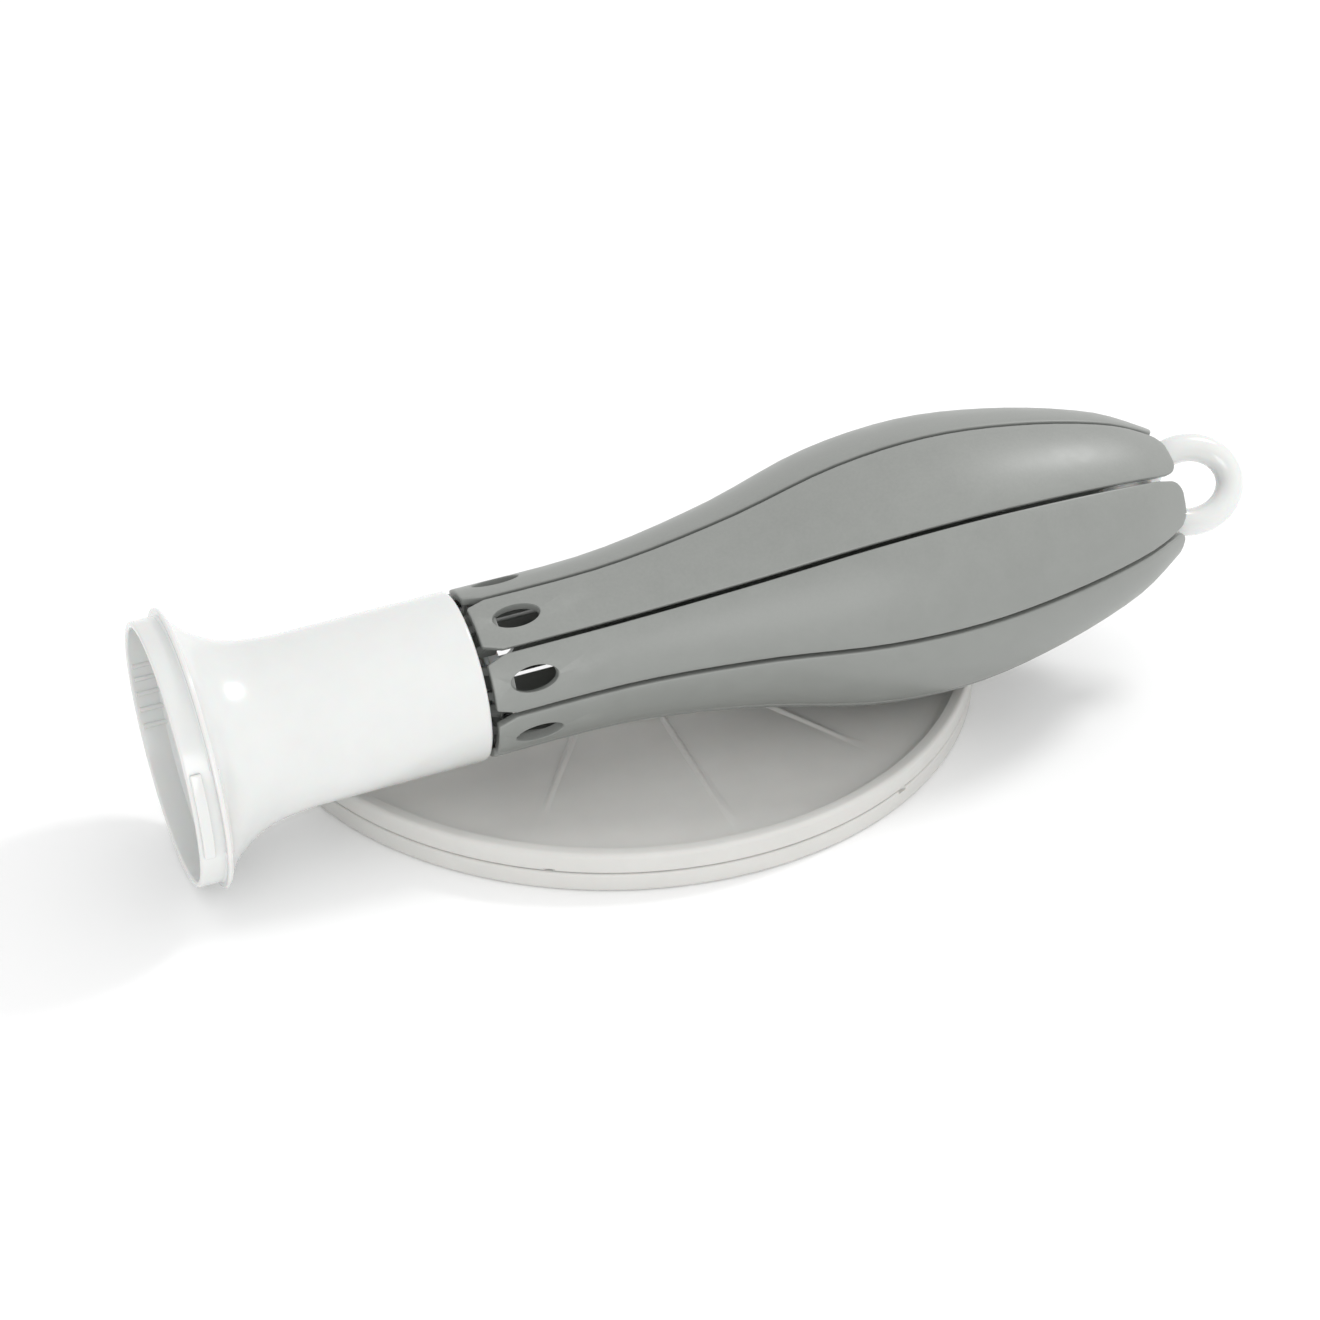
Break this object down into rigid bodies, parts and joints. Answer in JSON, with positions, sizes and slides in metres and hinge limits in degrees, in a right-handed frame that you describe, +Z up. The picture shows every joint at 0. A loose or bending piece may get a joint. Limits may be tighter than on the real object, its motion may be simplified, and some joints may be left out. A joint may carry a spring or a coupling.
{
  "type": "folding bottle drying rack",
  "caption": "Folding bottle-drying rack lying folded: a flared stem, hinged petal arms closed round a pull rod with a ring, on a round tray folded in half.",
  "frame": {"origin": "on the surface that the folded rack lies on, under the middle of its bounding box", "axes": "+X along the tree from its flange to the pull ring, +Y from the tree towards the tray's fold line, +Z up"},
  "size_m": [0.368, 0.123, 0.1012],
  "materials": {
    "white_plastic": "glossy, slightly translucent white",
    "petal_plastic": "satin mid grey",
    "tray_plastic": "satin light warm grey",
    "inner_plastic": "satin grey",
    "steel": "bright steel"
  },
  "bodies": {
    "tray_upper": {"tray_half_upper": "tray_plastic", "tray_hinge_pin_1": "steel", "tray_hinge_pin_2": "steel"},
    "tray_lower": {"tray_half_lower": "tray_plastic"},
    "tree": {"stem": "white_plastic", "hinge_hub": "inner_plastic", "rod_bush": "white_plastic", "hub_screw_1": "steel", "hub_screw_2": "steel", "hub_screw_3": "steel", "hub_screw_4": "steel", "petal_pin_1": "steel", "petal_pin_2": "steel", "petal_pin_3": "steel", "petal_pin_4": "steel", "petal_pin_5": "steel", "petal_pin_6": "steel", "petal_pin_7": "steel", "petal_pin_8": "steel"},
    "puller": {"pull_rod": "steel", "pull_spool": "white_plastic", "pull_ring": "white_plastic", "rod_stop": "white_plastic", "spool_cross_pin": "steel", "ring_cross_pin": "steel"},
    "petal_1": {"petal_1": "petal_plastic"},
    "petal_2": {"petal_2": "petal_plastic"},
    "petal_3": {"petal_3": "petal_plastic"},
    "petal_4": {"petal_4": "petal_plastic"},
    "petal_5": {"petal_5": "petal_plastic"},
    "petal_6": {"petal_6": "petal_plastic"},
    "petal_7": {"petal_7": "petal_plastic"},
    "petal_8": {"petal_8": "petal_plastic"}
  },
  "joints": [
    {"name": "tray_unfold", "type": "hinge", "parent": "tray_upper", "child": "tray_lower", "pos_m": [-0.01775, 0.0585, 0.007], "axis": [1, 0, 0], "range_deg": [0, 180]},
    {"name": "stand_up", "type": "hinge", "parent": "tray_upper", "child": "tree", "pos_m": [-0.17936, 0.0056, 0], "axis": [0, -1, 0], "range_deg": [0, 86.85]},
    {"name": "ring_pull", "type": "slide", "parent": "tree", "child": "puller", "axis": [0.9985, 0, 0.0549], "range_m": [0, 0.00832]},
    {"name": "petal_1_open", "type": "hinge", "parent": "tree", "child": "petal_1", "pos_m": [-0.07812, 0.01347, 0.02946], "axis": [-0.0206, 0.9272, 0.374], "range_deg": [0, 55.1]},
    {"name": "petal_2_open", "type": "hinge", "parent": "tree", "child": "petal_2", "pos_m": [-0.07874, 0.02493, 0.04071], "axis": [-0.0505, 0.3907, 0.9191], "range_deg": [0, 55.1]},
    {"name": "petal_3_open", "type": "hinge", "parent": "tree", "child": "petal_3", "pos_m": [-0.07962, 0.02507, 0.05676], "axis": [-0.0509, -0.3746, 0.9258], "range_deg": [0, 55.1]},
    {"name": "petal_4_open", "type": "hinge", "parent": "tree", "child": "petal_4", "pos_m": [-0.08025, 0.0138, 0.06821], "axis": [-0.0214, -0.9205, 0.3901], "range_deg": [0, 55.1]},
    {"name": "petal_5_open", "type": "hinge", "parent": "tree", "child": "petal_5", "pos_m": [-0.08026, -0.00227, 0.06835], "axis": [0.0206, -0.9272, -0.374], "range_deg": [0, 55.1]},
    {"name": "petal_6_open", "type": "hinge", "parent": "tree", "child": "petal_6", "pos_m": [-0.07964, -0.01373, 0.0571], "axis": [0.0505, -0.3907, -0.9191], "range_deg": [0, 55.1]},
    {"name": "petal_7_open", "type": "hinge", "parent": "tree", "child": "petal_7", "pos_m": [-0.07876, -0.01387, 0.04105], "axis": [0.0509, 0.3746, -0.9258], "range_deg": [0, 55.1]},
    {"name": "petal_8_open", "type": "hinge", "parent": "tree", "child": "petal_8", "pos_m": [-0.07813, -0.00261, 0.0296], "axis": [0.0214, 0.9205, -0.3901], "range_deg": [0, 55.1]}
  ],
  "couplings": [
    {"joint": "ring_pull", "follows": "stand_up", "m_per_rad": 0.0054832},
    {"joint": "petal_1_open", "follows": "stand_up", "ratio": 0.63328},
    {"joint": "petal_2_open", "follows": "stand_up", "ratio": 0.63328},
    {"joint": "petal_3_open", "follows": "stand_up", "ratio": 0.63328},
    {"joint": "petal_4_open", "follows": "stand_up", "ratio": 0.63328},
    {"joint": "petal_5_open", "follows": "stand_up", "ratio": 0.63328},
    {"joint": "petal_6_open", "follows": "stand_up", "ratio": 0.63328},
    {"joint": "petal_7_open", "follows": "stand_up", "ratio": 0.63328},
    {"joint": "petal_8_open", "follows": "stand_up", "ratio": 0.63328}
  ]
}
